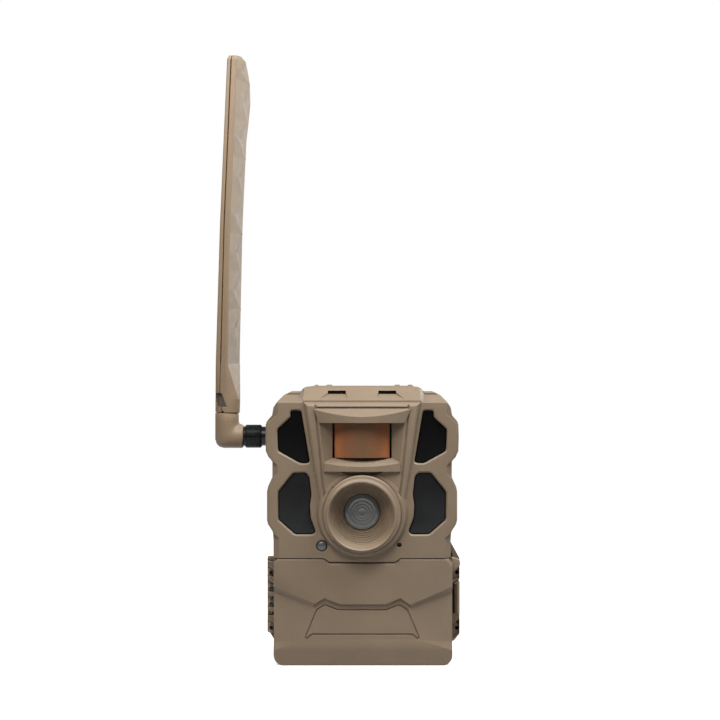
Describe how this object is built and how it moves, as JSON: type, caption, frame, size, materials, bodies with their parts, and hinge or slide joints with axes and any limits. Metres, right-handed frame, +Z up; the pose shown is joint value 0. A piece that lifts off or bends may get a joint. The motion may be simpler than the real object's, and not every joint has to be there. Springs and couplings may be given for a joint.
{
  "type": "trail camera",
  "caption": "Weatherproof trail camera with infrared windows, motion lens, hinged battery door with side latch and a paddle antenna on a screwed elbow.",
  "frame": {"origin": "middle of the flat base of the housing, where it rests", "axes": "+Z up along the antenna, -Y is the way the lens looks, -X is the antenna's side"},
  "size_m": [0.1211, 0.0772, 0.2987],
  "materials": {
    "moulded_tan": "satin moulded plastic, fine grain",
    "antenna_tan": "satin moulded plastic, lighter",
    "black_plastic": "matte black moulding",
    "ir_filter": "near-black polished infrared filter",
    "amber_lens": "translucent brown Fresnel sheet",
    "lens_grey": "grey coated lens window",
    "board": "green circuit board",
    "steel": "plated steel",
    "brass": "brass",
    "rubber": "soft black rubber",
    "cell": "printed metal can, plain dark wrap"
  },
  "bodies": {
    "housing": {"rear_shell": "moulded_tan", "front_bezel": "moulded_tan", "lens_ring": "moulded_tan", "battery_tray": "black_plastic", "control_panel": "black_plastic", "sd_card": "black_plastic", "lens_barrel": "black_plastic", "image_sensor": "black_plastic", "dc_jack": "black_plastic", "ir_window_upper_left": "ir_filter", "ir_window_upper_right": "ir_filter", "ir_window_lower_left": "ir_filter", "ir_window_lower_right": "ir_filter", "display_screen": "ir_filter", "motion_lens": "amber_lens", "lens_window": "lens_grey", "status_light": "lens_grey", "main_board": "board", "ir_led_board_left": "board", "ir_led_board_right": "board", "contact_board": "board", "cellular_module": "steel", "motion_sensor": "steel", "microphone": "steel", "hinge_pin": "steel", "latch_pin": "steel", "housing_screw_1": "steel", "housing_screw_2": "steel", "housing_screw_3": "steel", "housing_screw_4": "steel", "sim_card": "steel", "antenna_jack": "brass", "tripod_insert": "brass", "bezel_seal": "rubber", "dc_port_plug": "rubber", "aa_cell_01": "cell", "aa_cell_02": "cell", "aa_cell_03": "cell", "aa_cell_04": "cell", "aa_cell_05": "cell", "aa_cell_06": "cell", "aa_cell_07": "cell", "aa_cell_08": "cell", "aa_cell_09": "cell", "aa_cell_10": "cell", "aa_cell_11": "cell", "aa_cell_12": "cell"},
    "door": {"door_shell": "moulded_tan", "door_seal": "rubber"},
    "latch": {"latch_lever": "moulded_tan"},
    "antenna_nut": {"antenna_nut": "black_plastic"},
    "antenna_elbow": {"antenna_elbow": "antenna_tan"},
    "antenna_blade": {"antenna_blade_left": "antenna_tan", "antenna_blade_right": "antenna_tan", "antenna_element": "brass"},
    "power_switch": {"power_switch": "rubber"},
    "button_up": {"menu_button_up": "rubber"},
    "button_ok": {"menu_button_ok": "rubber"},
    "button_down": {"menu_button_down": "rubber"}
  },
  "joints": [
    {"name": "door_hinge", "type": "hinge", "parent": "housing", "child": "door", "pos_m": [-0.0436, -0.014, 0.032], "axis": [0, 0, -1], "range_deg": [0, 120]},
    {"name": "latch_hinge", "type": "hinge", "parent": "housing", "child": "latch", "pos_m": [0.0457, -0.012, 0.032], "axis": [0, 0, 1], "range_deg": [0, 70]},
    {"name": "antenna_nut_spin", "type": "hinge", "parent": "housing", "child": "antenna_nut", "pos_m": [-0.0535, 0, 0.1089], "axis": [1, 0, 0], "continuous": true},
    {"name": "antenna_turn", "type": "hinge", "parent": "housing", "child": "antenna_elbow", "pos_m": [-0.0676, 0, 0.1089], "axis": [1, 0, 0], "range_deg": [-90, 90]},
    {"name": "antenna_twist", "type": "hinge", "parent": "antenna_elbow", "child": "antenna_blade", "pos_m": [-0.06723, 0, 0.1201], "axis": [0.0332, 0, 0.9995], "range_deg": [-90, 90]},
    {"name": "power_switch_slide", "type": "slide", "parent": "housing", "child": "power_switch", "axis": [0, 0, 1], "range_m": [0, 0.004]},
    {"name": "button_up_press", "type": "slide", "parent": "housing", "child": "button_up", "axis": [0, 1, 0], "range_m": [0, 0.001], "stiffness_N_per_m": 300, "springref_m": -0.0003},
    {"name": "button_ok_press", "type": "slide", "parent": "housing", "child": "button_ok", "axis": [0, 1, 0], "range_m": [0, 0.001], "stiffness_N_per_m": 300, "springref_m": -0.0003},
    {"name": "button_down_press", "type": "slide", "parent": "housing", "child": "button_down", "axis": [0, 1, 0], "range_m": [0, 0.001], "stiffness_N_per_m": 300, "springref_m": -0.0003}
  ]
}
